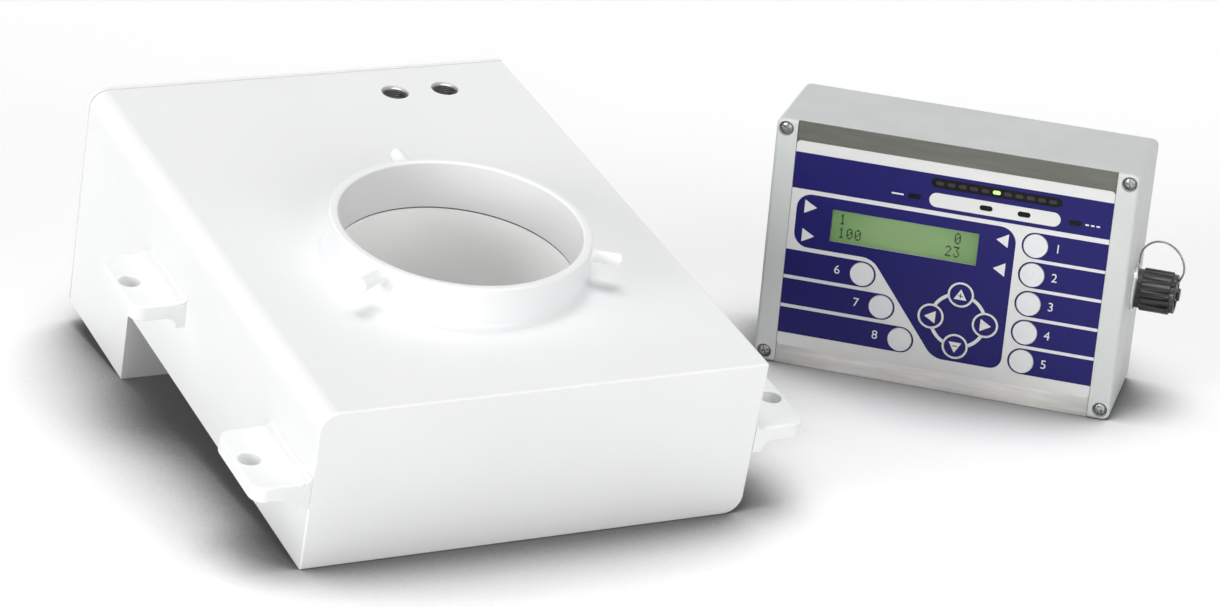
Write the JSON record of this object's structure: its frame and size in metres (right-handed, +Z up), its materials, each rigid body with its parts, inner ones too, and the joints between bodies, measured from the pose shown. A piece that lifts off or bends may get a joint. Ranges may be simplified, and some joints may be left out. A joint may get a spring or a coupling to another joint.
{
  "type": "vertical metal detector",
  "caption": "White search head with a round vertical aperture, pinned collar and mounting tabs, beside a grey control box with display, keys and capped socket.",
  "frame": {"origin": "centre of the overall outline on the floor", "axes": "+X to the right along the head's width, +Y to the back, +Z up"},
  "size_m": [0.6906, 0.42, 0.17],
  "materials": {
    "white_case": "glossy white powder coat",
    "liner_plastic": "smooth moulded liner",
    "former_plastic": "machined former",
    "copper": "lacquered winding wire",
    "gasket_rubber": "soft white silicone rubber",
    "steel_screw": "stainless steel",
    "circuit_board": "green board",
    "standoff_brass": "nickelled brass",
    "boss_steel": "stainless steel",
    "grey_box": "light grey moulded box",
    "brushed_plate": "brushed stainless steel",
    "overlay_print": "navy and white printed film",
    "window_clear": "clear window",
    "black_plastic": "black moulded plastic",
    "lamp_dark": "unlit lamp",
    "lamp_green": "lit green lamp",
    "key_white": "white embossed key",
    "key_navy": "navy embossed key",
    "socket_metal": "bright turned metal"
  },
  "bodies": {
    "search_head": {"case_top_sheet": "white_case", "case_left_sheet": "white_case", "case_bottom_sheet": "white_case", "case_front_plate": "white_case", "bay_step_plate": "white_case", "bay_floor_sheet": "white_case", "rear_cover": "white_case", "rear_frame": "white_case", "mounting_tab_front_left": "white_case", "mounting_tab_front_right": "white_case", "mounting_tab_rear_left": "white_case", "mounting_tab_rear_right": "white_case", "collar": "white_case", "collar_pin_right": "white_case", "collar_pin_rear": "white_case", "collar_pin_left": "white_case", "aperture_liner": "liner_plastic", "coil_former": "former_plastic", "receive_coil_lower": "copper", "transmit_coil": "copper", "receive_coil_upper": "copper", "rear_gasket": "gasket_rubber", "rear_cover_screws": "steel_screw", "electronics_board": "circuit_board", "board_standoffs": "standoff_brass", "conduit_boss_left": "boss_steel", "conduit_boss_right": "boss_steel"},
    "control_unit": {"control_box_base": "grey_box", "control_box_lid": "grey_box", "lid_seal": "gasket_rubber", "lid_screws": "steel_screw", "lanyard_ring": "steel_screw", "lanyard_eye": "steel_screw", "lanyard_wire": "steel_screw", "face_plate": "brushed_plate", "keypad_overlay": "overlay_print", "display_window": "window_clear", "display_module": "black_plastic", "lamp_bar": "black_plastic", "cap_stud": "black_plastic", "display_board": "circuit_board", "board_spacers": "standoff_brass", "bar_lamps": "lamp_dark", "status_lamps": "lamp_dark", "bar_lamp_lit": "lamp_green", "socket_shell": "socket_metal", "socket_nut": "socket_metal"},
    "key_left_1": {"key_left_1": "key_white"},
    "key_left_2": {"key_left_2": "key_white"},
    "key_left_3": {"key_left_3": "key_white"},
    "key_right_1": {"key_right_1": "key_white"},
    "key_right_2": {"key_right_2": "key_white"},
    "key_right_3": {"key_right_3": "key_white"},
    "key_right_4": {"key_right_4": "key_white"},
    "key_right_5": {"key_right_5": "key_white"},
    "key_plus": {"key_plus": "key_navy"},
    "key_minus": {"key_minus": "key_navy"},
    "key_back": {"key_back": "key_navy"},
    "key_forward": {"key_forward": "key_navy"},
    "dust_cap": {"dust_cap": "black_plastic"}
  },
  "joints": [
    {"name": "control_unit_lift", "type": "slide", "parent": "search_head", "child": "control_unit", "axis": [0, 0, 1], "range_m": [0, 0.12]},
    {"name": "key_left_1_press", "type": "slide", "parent": "control_unit", "child": "key_left_1", "axis": [0.6691, 0.7431, 0], "range_m": [0, 0.0008], "stiffness_N_per_m": 900, "springref_m": -0.0004},
    {"name": "key_left_2_press", "type": "slide", "parent": "control_unit", "child": "key_left_2", "axis": [0.6691, 0.7431, 0], "range_m": [0, 0.0008], "stiffness_N_per_m": 900, "springref_m": -0.0004},
    {"name": "key_left_3_press", "type": "slide", "parent": "control_unit", "child": "key_left_3", "axis": [0.6691, 0.7431, 0], "range_m": [0, 0.0008], "stiffness_N_per_m": 900, "springref_m": -0.0004},
    {"name": "key_right_1_press", "type": "slide", "parent": "control_unit", "child": "key_right_1", "axis": [0.6691, 0.7431, 0], "range_m": [0, 0.0008], "stiffness_N_per_m": 900, "springref_m": -0.0004},
    {"name": "key_right_2_press", "type": "slide", "parent": "control_unit", "child": "key_right_2", "axis": [0.6691, 0.7431, 0], "range_m": [0, 0.0008], "stiffness_N_per_m": 900, "springref_m": -0.0004},
    {"name": "key_right_3_press", "type": "slide", "parent": "control_unit", "child": "key_right_3", "axis": [0.6691, 0.7431, 0], "range_m": [0, 0.0008], "stiffness_N_per_m": 900, "springref_m": -0.0004},
    {"name": "key_right_4_press", "type": "slide", "parent": "control_unit", "child": "key_right_4", "axis": [0.6691, 0.7431, 0], "range_m": [0, 0.0008], "stiffness_N_per_m": 900, "springref_m": -0.0004},
    {"name": "key_right_5_press", "type": "slide", "parent": "control_unit", "child": "key_right_5", "axis": [0.6691, 0.7431, 0], "range_m": [0, 0.0008], "stiffness_N_per_m": 900, "springref_m": -0.0004},
    {"name": "key_plus_press", "type": "slide", "parent": "control_unit", "child": "key_plus", "axis": [0.6691, 0.7431, 0], "range_m": [0, 0.0008], "stiffness_N_per_m": 900, "springref_m": -0.0004},
    {"name": "key_minus_press", "type": "slide", "parent": "control_unit", "child": "key_minus", "axis": [0.6691, 0.7431, 0], "range_m": [0, 0.0008], "stiffness_N_per_m": 900, "springref_m": -0.0004},
    {"name": "key_back_press", "type": "slide", "parent": "control_unit", "child": "key_back", "axis": [0.6691, 0.7431, 0], "range_m": [0, 0.0008], "stiffness_N_per_m": 900, "springref_m": -0.0004},
    {"name": "key_forward_press", "type": "slide", "parent": "control_unit", "child": "key_forward", "axis": [0.6691, 0.7431, 0], "range_m": [0, 0.0008], "stiffness_N_per_m": 900, "springref_m": -0.0004},
    {"name": "dust_cap_turn", "type": "hinge", "parent": "control_unit", "child": "dust_cap", "pos_m": [0.3155, -0.09989, 0.079], "axis": [0.7431, -0.6691, 0], "range_deg": [0, 90]}
  ]
}
